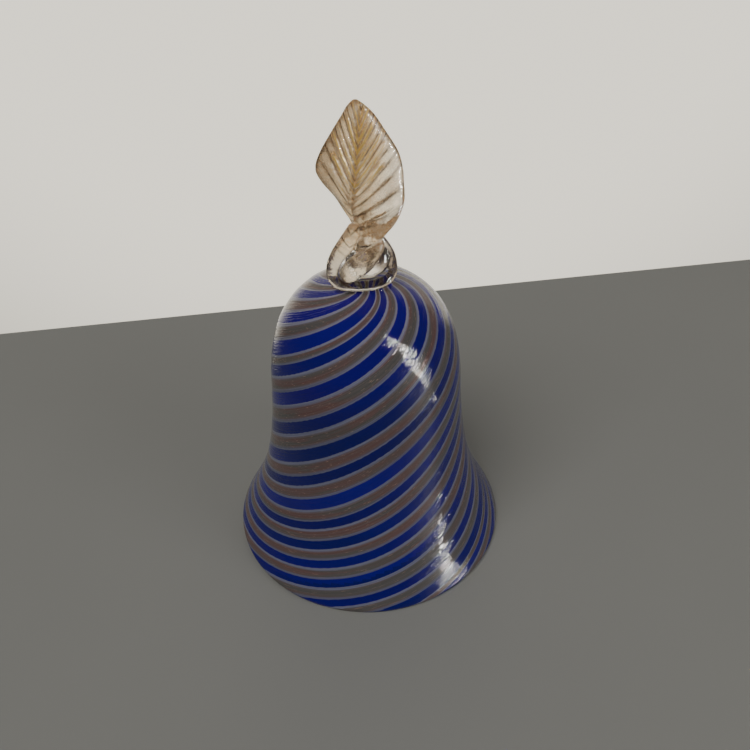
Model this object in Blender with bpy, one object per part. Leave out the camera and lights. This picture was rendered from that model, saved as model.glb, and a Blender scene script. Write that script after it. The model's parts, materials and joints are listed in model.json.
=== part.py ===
"""A blown glass table bell: a striped cup with a twisted leaf handle and a glass drop clapper on a chain.

Every size is in millimetres and is turned into metres by MM when a shape is made.
+Z is up, the rim stands on z = 0, the bell's axis is the Z axis, and the leaf faces -Y.
"""

import math

import bmesh
import bpy
from mathutils import Matrix, Vector

MM = 0.001
GAP = 0.3  # air left between two pieces that touch or lie on each other

# Cup: an outer curve of two joined stretches, the skirt below and the dome above, and a wall inside it
RIM_RADIUS = 42.5
CUP_HEIGHT = 91.2
BODY_RADIUS = 27.9
BODY_HEIGHT = 58.0
FLARE_PULL = (35.0, 16.0)
WAIST_PULL = (29.6, 26.0)
SHOULDER_PULL = (27.0, 80.0)
CROWN_PULL_RADIUS = 20.0
WALL = 2.8
CROWN_WALL = 4.0
LIP_FLAT = 0.3  # how much of the round lip is ground away where it stands
CUP_SIDES = 48
SKIRT_STEPS = 11
DOME_STEPS = 10
LIP_STEPS = 6

# Pad: the button of clear glass that joins the handle to the crown
PAD_RADIUS = 8.6
PAD_THICKNESS = 3.0
PAD_SIDES = 36

# Handle: sections from the knot up to the tip of the leaf
HANDLE_HEIGHT = 46.4
HANDLE_SIDES = 28
HANDLE_RINGS = 34
# share of the height, middle x, half width, half thickness, turn about Z in degrees
HANDLE_SECTIONS = (
    (0.000, 0.0, 7.4, 7.0, -160.0),
    (0.035, 0.0, 9.1, 8.2, -150.0),
    (0.090, -0.2, 9.7, 8.6, -135.0),
    (0.150, -0.1, 8.9, 7.8, -112.0),
    (0.225, 0.3, 7.2, 5.6, -78.0),
    (0.310, 1.6, 7.0, 3.9, -42.0),
    (0.400, 1.9, 8.6, 3.1, -16.0),
    (0.500, 1.2, 10.0, 2.7, -5.0),
    (0.610, 0.2, 10.9, 2.5, 0.0),
    (0.700, -0.1, 10.2, 2.4, 0.0),
    (0.800, -0.2, 7.5, 2.2, 0.0),
    (0.900, -0.9, 4.3, 1.9, 0.0),
    (0.960, -1.4, 2.3, 1.5, 0.0),
    (1.000, -1.6, 0.7, 0.6, 0.0),
)

# Hanging loop: a rod of clear glass bent to a U on a button inside the crown
LOOP_ROD_RADIUS = 1.5
LOOP_BEND_RADIUS = 4.1
LOOP_LEG = 3.9
LOOP_BUTTON_RADIUS = 6.4
LOOP_BUTTON_THICKNESS = 2.2

# Chain: one round ring in the glass loop, then oval links
RING_WIRE_RADIUS = 0.55
RING_RADIUS = 3.4  # to the middle of the wire
LINK_WIRE_RADIUS = 0.5
LINK_LENGTH = 8.0  # outside
LINK_WIDTH = 5.0  # outside
LINK_COUNT = 5

# Clapper: a glass ball threaded on a wire pin, under a small metal cap
BALL_RADIUS = 8.5
BALL_BORE_RADIUS = 0.95
PIN_WIRE_RADIUS = 0.55
PIN_EYE_RADIUS = 2.0  # to the middle of the wire
PIN_NECK = 1.6  # from the eye's wire to the cap
PIN_HEAD_RADIUS = 1.7
PIN_HEAD_THICKNESS = 0.7
CAP_WALL = 0.5
CAP_REACH = 38.0  # degrees from the top of the ball to the cap's edge


def clear_scene():
    for thing in list(bpy.data.objects):
        bpy.data.objects.remove(thing)


def material(name, colour, roughness, metallic=0.0, transmission=0.0):
    made = bpy.data.materials.new(name)
    made.use_nodes = True
    shader = made.node_tree.nodes["Principled BSDF"]
    shader.inputs["Base Color"].default_value = (*colour, 1.0)
    shader.inputs["Roughness"].default_value = roughness
    shader.inputs["Metallic"].default_value = metallic
    shader.inputs["Transmission Weight"].default_value = transmission
    return made


def add_object(name, mesh, surface, place=(0.0, 0.0, 0.0)):
    """Links a finished mesh as a named object whose origin is at place, given in millimetres."""
    mesh.materials.append(surface)
    mesh.shade_smooth()
    mesh.set_sharp_from_angle(angle=math.radians(40.0))
    made = bpy.data.objects.new(name, mesh)
    made.location = Vector(place) * MM
    bpy.context.collection.objects.link(made)
    return made


def mesh_from(bm, name):
    bmesh.ops.remove_doubles(bm, verts=bm.verts, dist=1e-6)
    bmesh.ops.recalc_face_normals(bm, faces=bm.faces)
    mesh = bpy.data.meshes.new(name)
    bm.to_mesh(mesh)
    bm.free()
    return mesh


def turned(name, outline, sides, closed=False):
    """Spins an outline of (radius, height) points in millimetres once round the Z axis."""
    bm = bmesh.new()
    points = [bm.verts.new((radius * MM, 0.0, height * MM)) for radius, height in outline]
    pairs = list(zip(points, points[1:]))
    if closed:
        pairs.append((points[-1], points[0]))
    edges = [bm.edges.new(pair) for pair in pairs]
    bmesh.ops.spin(
        bm,
        geom=points + edges,
        cent=(0.0, 0.0, 0.0),
        axis=(0.0, 0.0, 1.0),
        angle=math.tau,
        steps=sides,
        use_merge=True,
    )
    return mesh_from(bm, name)


def bezier(p0, p1, p2, p3, t):
    """The point and the direction at t on a cubic curve in the (radius, height) plane."""
    s = 1.0 - t
    p0, p1, p2, p3 = (Vector(p) for p in (p0, p1, p2, p3))
    point = s**3 * p0 + 3 * s * s * t * p1 + 3 * s * t * t * p2 + t**3 * p3
    slope = s * s * (p1 - p0) + 2 * s * t * (p2 - p1) + t * t * (p3 - p2)
    return point, slope.normalized()


def cup_walls():
    """The outer and the inner line of the cup, both from the rim up to the crown."""
    body = (BODY_RADIUS, BODY_HEIGHT)
    skirt = ((RIM_RADIUS, WALL * 0.7), FLARE_PULL, WAIST_PULL, body)
    dome = (body, SHOULDER_PULL, (CROWN_PULL_RADIUS, CUP_HEIGHT), (0.0, CUP_HEIGHT))
    stations = [bezier(*skirt, i / SKIRT_STEPS) for i in range(SKIRT_STEPS)]
    stations += [bezier(*dome, i / DOME_STEPS) for i in range(DOME_STEPS + 1)]
    outer = []
    inner = []
    for place, along in stations:
        share = max(0.0, (place.y - BODY_HEIGHT) / (CUP_HEIGHT - BODY_HEIGHT))
        wall = WALL + (CROWN_WALL - WALL) * share**2
        inward = Vector((-along.y, along.x))
        outer.append(place)
        inner.append(place + inward * wall)
    inner[-1].x = 0.0
    return outer, inner


def lip(start, end):
    """The round edge between the outer line's first point and the inner line's, without those two."""
    middle = (start + end) / 2
    arm = start - middle
    points = []
    for i in range(1, LIP_STEPS):
        angle = -math.pi * i / LIP_STEPS
        turn = Vector(
            (
                arm.x * math.cos(angle) - arm.y * math.sin(angle),
                arm.x * math.sin(angle) + arm.y * math.cos(angle),
            )
        )
        points.append(middle + turn)
    return points


def cup_outline():
    """The section of the cup's wall, from the outer crown down, round the lip and up to the inner crown."""
    outer, inner = cup_walls()
    edge = lip(outer[0], inner[0])
    floor = min(point.y for point in edge) + LIP_FLAT
    outline = [*reversed(outer), *edge, *inner]
    return [(point.x, max(point.y, floor) - floor) for point in outline], floor


def crown_depth(line, radius):
    """How far below its own top a dome line has sunk at a radius."""
    top = line[-1].y
    for low, high in zip(line, line[1:]):
        if high.x <= radius <= low.x:
            share = (low.x - radius) / (low.x - high.x)
            return top - (low.y + (high.y - low.y) * share)
    return 0.0


def make_cup(glass):
    """The cup. Returns how far its curves are lowered so that the ground lip stands on z = 0."""
    outline, floor = cup_outline()
    add_object("bell_cup", turned("bell_cup", outline, CUP_SIDES), glass)
    return floor


def make_pad(glass, crown, outer):
    """A flat button whose underside follows the crown, with a round edge."""
    rise = PAD_THICKNESS / 2
    seat_radii = (0.0, PAD_RADIUS * 0.45, PAD_RADIUS - rise)
    seat = [(radius, crown + GAP - crown_depth(outer, radius)) for radius in seat_radii]
    edge_low = seat[-1][1]
    edge = []
    for i in range(1, 6):
        angle = -math.pi / 2 + math.pi * i / 6
        height = edge_low + rise + rise * math.sin(angle)
        edge.append((PAD_RADIUS - rise + rise * math.cos(angle), height))
    top = edge_low + PAD_THICKNESS
    outline = [*seat, *edge, (PAD_RADIUS - rise, top), (0.0, top)]
    add_object("crown_pad", turned("crown_pad", outline, PAD_SIDES), glass)
    return top


def smooth_between(rows, share):
    """A row of values read from a table by its first column, on a smooth curve through the rows."""
    place = 0
    while place < len(rows) - 2 and rows[place + 1][0] < share:
        place += 1
    before = rows[max(place - 1, 0)]
    low, high = rows[place], rows[place + 1]
    after = rows[min(place + 2, len(rows) - 1)]
    span = high[0] - low[0]
    t = (share - low[0]) / span
    found = []
    for a, b, c, d in zip(before[1:], low[1:], high[1:], after[1:]):
        start = (c - a) / (high[0] - before[0]) * span
        end = (d - b) / (after[0] - low[0]) * span
        found.append(
            (2 * t**3 - 3 * t**2 + 1) * b
            + (t**3 - 2 * t**2 + t) * start
            + (3 * t**2 - 2 * t**3) * c
            + (t**3 - t**2) * end
        )
    return found


def make_handle(glass, base):
    """The leaf and its twisted stem: rings of one glass bar, each of its own width, thickness and turn."""
    bm = bmesh.new()
    rings = []
    for i in range(HANDLE_RINGS + 1):
        share = 0.5 - 0.5 * math.cos(math.pi * i / HANDLE_RINGS)
        share = 0.55 * i / HANDLE_RINGS + 0.45 * share
        middle, half_width, half_thickness, turn = smooth_between(HANDLE_SECTIONS, share)
        place = Matrix.Translation(Vector((middle, 0.0, share * HANDLE_HEIGHT)) * MM)
        spin = Matrix.Rotation(math.radians(turn), 4, "Z")
        size = Matrix.Diagonal((half_width * MM, half_thickness * MM, 1.0, 1.0))
        circle = bmesh.ops.create_circle(bm, segments=HANDLE_SIDES, radius=1.0, matrix=place @ spin @ size)
        rings.append(circle["verts"])
    for low, high in zip(rings, rings[1:]):
        for k in range(HANDLE_SIDES):
            after = (k + 1) % HANDLE_SIDES
            bm.faces.new((low[k], low[after], high[after], high[k]))
    bm.faces.new(rings[0])
    bm.faces.new(rings[-1])
    add_object("leaf_handle", mesh_from(bm, "leaf_handle"), glass, (0.0, 0.0, base))


def wire(name, points, radius, cyclic, resolution=2):
    """A mesh of round wire along points in millimetres."""
    curve = bpy.data.curves.new(name, "CURVE")
    curve.dimensions = "3D"
    curve.bevel_depth = radius * MM
    curve.bevel_resolution = resolution
    curve.use_fill_caps = not cyclic
    spline = curve.splines.new("POLY")
    spline.points.add(len(points) - 1)
    for knot, point in zip(spline.points, points):
        knot.co = (*(Vector(point) * MM), 1.0)
    spline.use_cyclic_u = cyclic
    holder = bpy.data.objects.new(name, curve)
    bpy.context.collection.objects.link(holder)
    bpy.context.view_layer.update()
    evaluated = holder.evaluated_get(bpy.context.evaluated_depsgraph_get())
    bm = bmesh.new()
    bm.from_mesh(bpy.data.meshes.new_from_object(evaluated))
    bpy.data.objects.remove(holder)
    return mesh_from(bm, name)


def join(target, *others):
    """Unites other objects with a target as one solid, and hides them as cutters."""
    for other in others:
        union = target.modifiers.new("join_" + other.name, "BOOLEAN")
        union.operation = "UNION"
        union.object = other
        other.hide_render = True
        other.display_type = "WIRE"


def make_hanging_loop(glass, inside_top, inner):
    """A U of glass rod under a button that follows the inside crown. Returns its lowest bar's height."""
    seat = []
    for share in (0.0, 0.5, 1.0):
        radius = LOOP_BUTTON_RADIUS * share
        seat.append((radius, inside_top - GAP - crown_depth(inner, radius)))
    low = seat[-1][1] - LOOP_BUTTON_THICKNESS
    outline = [*seat, (LOOP_BUTTON_RADIUS * 0.93, low + 0.5), (LOOP_BUTTON_RADIUS * 0.8, low), (0.0, low)]
    loop = add_object("hanging_loop", turned("hanging_loop", outline, 28), glass)
    bend = low - LOOP_LEG
    buried = low + LOOP_BUTTON_THICKNESS * 0.6
    arc = []
    for i in range(13):
        angle = math.pi + math.pi * i / 12
        arc.append((LOOP_BEND_RADIUS * math.cos(angle), 0.0, bend + LOOP_BEND_RADIUS * math.sin(angle)))
    path = [(-LOOP_BEND_RADIUS, 0.0, buried), *arc, (LOOP_BEND_RADIUS, 0.0, buried)]
    rod = add_object("loop_rod", wire("loop_rod", path, LOOP_ROD_RADIUS, False), glass)
    join(loop, rod)
    return bend - LOOP_BEND_RADIUS


def upright(point, across_y):
    """A flat point (across, up) stood up in the XZ plane, or in the YZ plane when across_y is set."""
    across, up = point
    return (0.0, across, up) if across_y else (across, 0.0, up)


def oval(length, width, steps=8):
    """The middle line of an oval link: two half circles joined by straight sides."""
    radius = width / 2
    straight = length / 2 - radius
    top = [math.pi * i / steps for i in range(steps + 1)]
    high = [(radius * math.cos(a), straight + radius * math.sin(a)) for a in top]
    low = [(-across, -up) for across, up in high]
    return high + low


def make_jump_ring(metal, bar):
    """The ring that hangs in the glass loop. Returns the height of the middle of its lowest wire."""
    top = bar + LOOP_ROD_RADIUS + GAP + RING_WIRE_RADIUS
    middle = top - RING_RADIUS
    steps = 20
    angles = [math.tau * i / steps for i in range(steps)]
    flat = [(RING_RADIUS * math.cos(a), middle - bar + RING_RADIUS * math.sin(a)) for a in angles]
    mesh = wire("jump_ring", [upright(point, True) for point in flat], RING_WIRE_RADIUS, True)
    add_object("jump_ring", mesh, metal, (0.0, 0.0, bar))
    return middle - RING_RADIUS


def make_chain(metal, start):
    """Oval links, each a quarter turn from the one above. Returns every joint's height, top first."""
    joints = [start]
    wire_above = RING_WIRE_RADIUS
    for number in range(1, LINK_COUNT + 1):
        hook = joints[-1]
        across_y = number % 2 == 0
        path = oval(LINK_LENGTH - 2 * LINK_WIRE_RADIUS, LINK_WIDTH - 2 * LINK_WIRE_RADIUS)
        top = wire_above + GAP + LINK_WIRE_RADIUS
        drop = top - (LINK_LENGTH / 2 - LINK_WIRE_RADIUS)
        name = f"chain_link_{number}"
        points = [upright((across, up + drop), across_y) for across, up in path]
        add_object(name, wire(name, points, LINK_WIRE_RADIUS, True), metal, (0.0, 0.0, hook))
        joints.append(hook + top - (LINK_LENGTH - 2 * LINK_WIRE_RADIUS))
        wire_above = LINK_WIRE_RADIUS
    return joints


def make_clapper(glass, metal, hook):
    """The pin with its eye, the cap and the ball, which swing together from the last link."""
    across_y = LINK_COUNT % 2 == 1
    eye_top = LINK_WIRE_RADIUS + GAP + PIN_WIRE_RADIUS
    eye_middle = eye_top - PIN_EYE_RADIUS
    eye_low = eye_middle - PIN_EYE_RADIUS
    cap_top = eye_low - PIN_NECK
    ball_top = cap_top - CAP_WALL - GAP
    ball_middle = ball_top - BALL_RADIUS
    head_top = ball_middle - BALL_RADIUS - GAP + BALL_BORE_RADIUS**2 / (2 * BALL_RADIUS)

    steps = 16
    angles = [math.tau * i / steps for i in range(steps)]
    flat = [(PIN_EYE_RADIUS * math.cos(a), eye_middle + PIN_EYE_RADIUS * math.sin(a)) for a in angles]
    eye = wire("clapper_pin", [upright(point, across_y) for point in flat], PIN_WIRE_RADIUS, True)
    pin = add_object("clapper_pin", eye, metal, (0.0, 0.0, hook))
    shank = [
        (0.0, eye_low),
        (PIN_WIRE_RADIUS, eye_low),
        (PIN_WIRE_RADIUS, head_top),
        (PIN_HEAD_RADIUS, head_top - PIN_HEAD_THICKNESS * 0.3),
        (PIN_HEAD_RADIUS * 0.8, head_top - PIN_HEAD_THICKNESS),
        (0.0, head_top - PIN_HEAD_THICKNESS),
    ]
    join(pin, add_object("pin_shank", turned("pin_shank", shank, 12), metal, (0.0, 0.0, hook)))

    hole = PIN_WIRE_RADIUS + GAP
    reach = math.radians(CAP_REACH)
    inside = BALL_RADIUS + GAP
    start = math.asin(hole / inside)
    sweep = [start + (reach - start) * i / 6 for i in range(7)]
    low_side = [(inside * math.sin(a), ball_middle + inside * math.cos(a)) for a in sweep]
    outside = inside + CAP_WALL
    high_side = [(outside * math.sin(a), ball_middle + outside * math.cos(a)) for a in reversed(sweep)]
    cap = turned("clapper_cap", low_side + high_side, 28, closed=True)
    add_object("clapper_cap", cap, metal, (0.0, 0.0, hook))

    first = math.asin(BALL_BORE_RADIUS / BALL_RADIUS)
    turns = [first + (math.pi - 2 * first) * i / 14 for i in range(15)]
    ball = [(BALL_RADIUS * math.sin(a), ball_middle + BALL_RADIUS * math.cos(a)) for a in turns]
    add_object("clapper_ball", turned("clapper_ball", ball, 28, closed=True), glass, (0.0, 0.0, hook))
    return hook + ball_middle


def main():
    clear_scene()
    striped = material("striped_glass", (0.05, 0.06, 0.42), 0.05, transmission=0.4)
    gold = material("gold_leaf_glass", (0.78, 0.64, 0.44), 0.06, transmission=0.8)
    clear = material("clear_glass", (0.93, 0.92, 0.89), 0.04, transmission=0.95)
    brass = material("brass_wire", (0.62, 0.47, 0.22), 0.3, metallic=1.0)

    floor = make_cup(striped)
    outer, inner = cup_walls()
    pad_top = make_pad(clear, CUP_HEIGHT - floor, outer)
    make_handle(gold, pad_top + GAP)
    bar = make_hanging_loop(clear, inner[-1].y - floor, inner)
    ring_low = make_jump_ring(brass, bar)
    joints = make_chain(brass, ring_low)
    ball = make_clapper(clear, brass, joints[-1])
    print("swing heights in mm:", [round(height, 3) for height in (bar, *joints)], "ball:", round(ball, 3))


main()
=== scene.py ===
"""Looks of a blown glass table bell: a striped cup, a ribbed leaf handle and a clapper on a chain."""

import json
import math

import bpy
from mathutils import Matrix, Vector, kdtree, noise


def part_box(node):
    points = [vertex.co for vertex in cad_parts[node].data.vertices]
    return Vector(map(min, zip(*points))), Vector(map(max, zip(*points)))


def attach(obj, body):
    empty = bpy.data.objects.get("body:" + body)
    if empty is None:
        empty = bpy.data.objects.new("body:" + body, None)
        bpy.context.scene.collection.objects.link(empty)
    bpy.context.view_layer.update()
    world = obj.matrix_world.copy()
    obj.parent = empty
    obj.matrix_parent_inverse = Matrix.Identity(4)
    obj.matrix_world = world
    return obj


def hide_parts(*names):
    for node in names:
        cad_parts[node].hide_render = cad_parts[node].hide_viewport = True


bl_info = {
    "name": "Striped Glass Bell",
    "version": (1, 0, 0),
    "blender": (4, 5, 0),
    "location": "View3D > Sidebar > Glass Bell",
    "description": "Blown glass table bell with spiral canes, a twisted leaf handle and a chain clapper",
    "category": "Add Mesh",
}

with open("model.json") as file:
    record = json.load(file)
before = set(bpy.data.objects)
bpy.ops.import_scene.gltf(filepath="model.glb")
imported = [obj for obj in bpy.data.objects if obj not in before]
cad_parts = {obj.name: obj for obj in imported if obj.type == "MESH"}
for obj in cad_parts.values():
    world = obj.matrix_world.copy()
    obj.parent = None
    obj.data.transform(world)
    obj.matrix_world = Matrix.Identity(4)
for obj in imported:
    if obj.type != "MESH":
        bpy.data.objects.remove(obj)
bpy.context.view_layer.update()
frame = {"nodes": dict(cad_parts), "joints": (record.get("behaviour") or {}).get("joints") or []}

MM = 0.001
CUP_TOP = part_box("bell_cup")[1].z
PAD_LOW, PAD_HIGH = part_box("crown_pad")
LEAF_LOW, LEAF_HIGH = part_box("leaf_handle")
JOINTS = {joint["name"]: Vector(joint["pos_m"]) for joint in frame["joints"]}

# The blue canes, in degrees round the foot of the cup: where each one's middle is and how wide it is
CANES = (
    (0, 14), (36, 13), (71, 16), (95, 11), (125, 13), (157, 12),
    (188, 13), (216, 10), (244, 13), (271, 10), (299, 12), (328, 12),
)
FIRST_CANE = -129.5  # where the first cane starts on the rim, in degrees from +X
CANE_SHARE = 0.25  # half of a cane's width, where a cane and the gap after it count as one
MAP_RISE = 10.0  # how much the map rises for a metre up the wall

# How the canes turn round the bell: lengths up the wall in millimetres, turns in degrees
TWIST_START = 3.1
RIM_TWIST = 192.5
RIM_REACH = 40.5
EVEN_TWIST = 0.92
DOME_START = 33.8
DOME_TWIST = 0.0196


# ---- Shader maths ----


class Value:
    """A number that changes over a surface. Python's operators add the Math nodes that work it out."""

    def __init__(self, tree, socket):
        self.tree = tree
        self.socket = socket

    def math(self, operation, *others):
        values = [self, *others]
        return self.tree.add("ShaderNodeMath", values, operation=operation)

    def __add__(self, other):
        return self.math("ADD", other)

    def __radd__(self, other):
        return self.math("ADD", other)

    def __sub__(self, other):
        return self.math("SUBTRACT", other)

    def __rsub__(self, other):
        return (self * -1.0) + other

    def __mul__(self, other):
        return self.math("MULTIPLY", other)

    def __rmul__(self, other):
        return self.math("MULTIPLY", other)

    def __truediv__(self, other):
        return self.math("DIVIDE", other)

    def __pow__(self, other):
        return self.math("POWER", other)

    def __abs__(self):
        return self.math("ABSOLUTE")

    def smooth(self, low, high):
        """0 below low, 1 above high, and an even curve between."""
        inputs = {"Value": self, "From Min": low, "From Max": high}
        return self.tree.add("ShaderNodeMapRange", inputs, interpolation_type="SMOOTHSTEP")

    def clamped(self):
        return self.tree.add("ShaderNodeClamp", [self])


class Finish:
    """The node tree of a material or of the room's light, with one method that adds any node."""

    def __init__(self, name, room=False):
        self.owner = bpy.data.worlds.new(name) if room else bpy.data.materials.new(name)
        self.owner.use_nodes = True
        self.nodes = self.owner.node_tree.nodes
        self.links = self.owner.node_tree.links
        self.nodes.clear()
        self.output = self.nodes.new("ShaderNodeOutputWorld" if room else "ShaderNodeOutputMaterial")

    def add(self, kind, inputs=(), output=0, **settings):
        """Adds a node, its settings first, then its inputs by place or name. Returns one output."""
        node = self.nodes.new(kind)
        for key, value in settings.items():
            setattr(node, key, value)
        pairs = inputs.items() if isinstance(inputs, dict) else enumerate(inputs)
        for key, value in pairs:
            if isinstance(value, Value):
                self.links.new(value.socket, node.inputs[key])
            else:
                node.inputs[key].default_value = value
        return Value(self, node.outputs[output])

    def place(self):
        return self.add("ShaderNodeTexCoord", output="Object")

    def parts(self, vector):
        """A vector's X, Y and Z as three values."""
        first = self.add("ShaderNodeSeparateXYZ", [vector])
        node = first.socket.node
        return [Value(self, node.outputs[k]) for k in range(3)]

    def scaled(self, vector, scale):
        return self.add("ShaderNodeVectorMath", [vector, scale], operation="MULTIPLY")

    def noise(self, vector, scale, detail=2.0, roughness=0.5, distortion=0.0):
        inputs = {"Vector": vector, "Scale": scale, "Detail": detail, "Roughness": roughness}
        inputs["Distortion"] = distortion
        return self.add("ShaderNodeTexNoise", inputs)

    def blend(self, share, first, second):
        """A colour between two colours."""
        inputs = {0: share, 6: first, 7: second}
        return self.add("ShaderNodeMix", inputs, output=2, data_type="RGBA")

    def surface(self, shader):
        self.links.new(shader.socket, self.output.inputs["Surface"])
        return self.owner


def rgb(red, green, blue):
    """A colour for a socket, from values that are linear."""
    return (red, green, blue, 1.0)


# ---- Modelling helpers ----


def deselect():
    if bpy.context.object and bpy.context.object.mode != "OBJECT":
        bpy.ops.object.mode_set(mode="OBJECT")
    bpy.ops.object.select_all(action="DESELECT")


def begin_ring(name, sides, radius, height):
    """Starts a piece as one ring of vertices round the Z axis, in edit mode, with the ring selected."""
    deselect()
    bpy.ops.mesh.primitive_circle_add(vertices=sides, radius=radius, location=(0.0, 0.0, height))
    piece = bpy.context.object
    piece.name = name
    piece.data.name = name
    bpy.ops.object.transform_apply(location=True, rotation=True, scale=True)
    bpy.ops.object.mode_set(mode="EDIT")
    bpy.ops.mesh.select_all(action="SELECT")
    return piece


def extend_ring(before, after):
    """Draws the selected ring out from one (radius, height) to the next."""
    bpy.ops.mesh.extrude_region_move(TRANSFORM_OT_translate={"value": (0.0, 0.0, after[1] - before[1])})
    size = after[0] / before[0]
    bpy.ops.transform.resize(value=(size, size, 1.0), center_override=(0.0, 0.0, after[1]))


def tidy_normals(piece):
    """Merges doubles and points every face outwards."""
    bpy.ops.object.mode_set(mode="EDIT")
    bpy.ops.mesh.select_all(action="SELECT")
    bpy.ops.mesh.remove_doubles(threshold=1e-6)
    bpy.ops.mesh.normals_make_consistent(inside=False)
    bpy.ops.object.mode_set(mode="OBJECT")
    return piece


def lathe(name, outline, sides):
    """Turns an outline of (radius, height) points, drawn out ring by ring and closed at both ends."""
    piece = begin_ring(name, sides, *outline[0])
    bpy.ops.mesh.edge_face_add()
    for before, after in zip(outline, outline[1:]):
        extend_ring(before, after)
    bpy.ops.object.mode_set(mode="OBJECT")
    return tidy_normals(piece)


def finish_piece(piece, finish, body, slot, *nodes):
    """Shades a piece smooth, gives it its finish, and ties it to the frame."""
    deselect()
    piece.select_set(True)
    bpy.context.view_layer.objects.active = piece
    bpy.ops.object.shade_smooth()
    piece.data.materials.clear()
    piece.data.materials.append(finish)
    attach(piece, body)
    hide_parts(*nodes)


# ---- The cup's shape and its canes ----


def bezier(p0, p1, p2, p3, t):
    """The point and the direction at t on a cubic curve in the (radius, height) plane."""
    s = 1.0 - t
    p0, p1, p2, p3 = (Vector(p) for p in (p0, p1, p2, p3))
    point = s**3 * p0 + 3 * s * s * t * p1 + 3 * s * t * t * p2 + t**3 * p3
    slope = s * s * (p1 - p0) + 2 * s * t * (p2 - p1) + t * t * (p3 - p2)
    return point, slope.normalized()


def cup_walls(cup):
    """The outer and the inner line of the cup, both from the rim up to the crown."""
    rim = (cup.rim_radius, cup.wall * 0.7)
    body = (cup.body_radius, cup.body_height)
    skirt = (rim, cup.flare_pull, cup.waist_pull, body)
    dome = (body, cup.shoulder_pull, (cup.crown_pull, cup.height), (0.0, cup.height))
    stations = [bezier(*skirt, i / cup.skirt_steps) for i in range(cup.skirt_steps)]
    stations += [bezier(*dome, i / cup.dome_steps) for i in range(cup.dome_steps)]
    outer = []
    inner = []
    for place, along in stations:
        share = max(0.0, (place.y - cup.body_height) / (cup.height - cup.body_height))
        wall = cup.wall + (cup.crown_wall - cup.wall) * share**2
        outer.append(place)
        inner.append(place + Vector((-along.y, along.x)) * wall)
    return outer, inner


def lip(start, end, steps):
    """The round edge between the outer line's first point and the inner line's, without those two."""
    middle = (start + end) / 2
    arm = start - middle
    return [middle + Matrix.Rotation(-math.pi * i / steps, 2) @ arm for i in range(1, steps)]


def cup_outline(cup):
    """The section of the wall, from the outer crown down, round the lip and up to the inner crown.

    Each point comes with its length up from the rim, so that a cane keeps its place through the wall.
    """
    outer, inner = cup_walls(cup)
    lengths = [0.0]
    for low, high in zip(outer, outer[1:]):
        lengths.append(lengths[-1] + (high - low).length)
    edge = lip(outer[0], inner[0], cup.lip_steps)
    half = len(edge) / 2
    turned = [-cup.wall * 0.75 * (1.0 - abs(i + 0.5 - half) / half) for i in range(len(edge))]
    floor = min(point.y for point in edge) + cup.lip_flat
    points = [*reversed(outer), *edge, *inner]
    along = [*reversed(lengths), *turned, *lengths]
    return [(point.x, max(point.y, floor) - floor) for point in points], along


def cane_turn(along):
    """How far the canes have turned round the bell, in degrees, at a length up from the rim in metres.

    They turn fastest at the spread rim, evenly at the waist, and a little faster again over the dome.
    """
    length = along / MM - TWIST_START
    spread = RIM_TWIST * (1.0 - math.exp(-length / RIM_REACH))
    return EVEN_TWIST * length + spread + DOME_TWIST * max(length - DOME_START, 0.0) ** 2


def cane_place(angle):
    """Turns an angle round the foot into a cane place: near a whole number is a cane, the rest a gap."""
    angle = (angle - FIRST_CANE) % 360.0
    edges = []
    for number, (middle, width) in enumerate(CANES + ((360, CANES[0][1]),)):
        edges.append((middle - width / 2, number - CANE_SHARE))
        edges.append((middle + width / 2, number + CANE_SHARE))
    for (low, low_place), (high, high_place) in zip(edges, edges[1:]):
        if low <= angle <= high:
            return low_place + (high_place - low_place) * (angle - low) / (high - low)
    return 0.0


def lay_canes(piece, outline, along):
    """Gives the cup a map: U counts canes round it and V runs up it. Returns every corner's U."""
    finder = kdtree.KDTree(len(outline))
    for index, (radius, height) in enumerate(outline):
        finder.insert((radius, height, 0.0), index)
    finder.balance()
    places = []
    for corner in piece.data.vertices:
        index = finder.find((math.hypot(corner.co.x, corner.co.y), corner.co.z, 0.0))[1]
        turn = math.degrees(math.atan2(corner.co.y, corner.co.x)) - cane_turn(along[index])
        places.append((cane_place(turn), along[index]))
    count = len(CANES)
    layer = piece.data.uv_layers.new(name="canes")
    for face in piece.data.polygons:
        first = places[piece.data.loops[face.loop_start].vertex_index][0]
        for loop in face.loop_indices:
            place, up = places[piece.data.loops[loop].vertex_index]
            place += count * round((first - place) / count)
            layer.data[loop].uv = (place, up * MAP_RISE)
    return [place for place, _ in places]


def raise_canes(piece, places, relief):
    """Lets the blue canes stand out a hair from the wall, so that reflections break over them."""
    shifts = []
    for corner, place in zip(piece.data.vertices, places):
        wave = math.cos(math.tau * place) + 0.8 * noise.noise(corner.co * 160.0)
        shifts.append(corner.normal * (relief * wave * min(corner.co.z / (6.0 * MM), 1.0)))
    for corner, shift in zip(piece.data.vertices, shifts):
        corner.co += shift


# ---- Finishes ----


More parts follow.
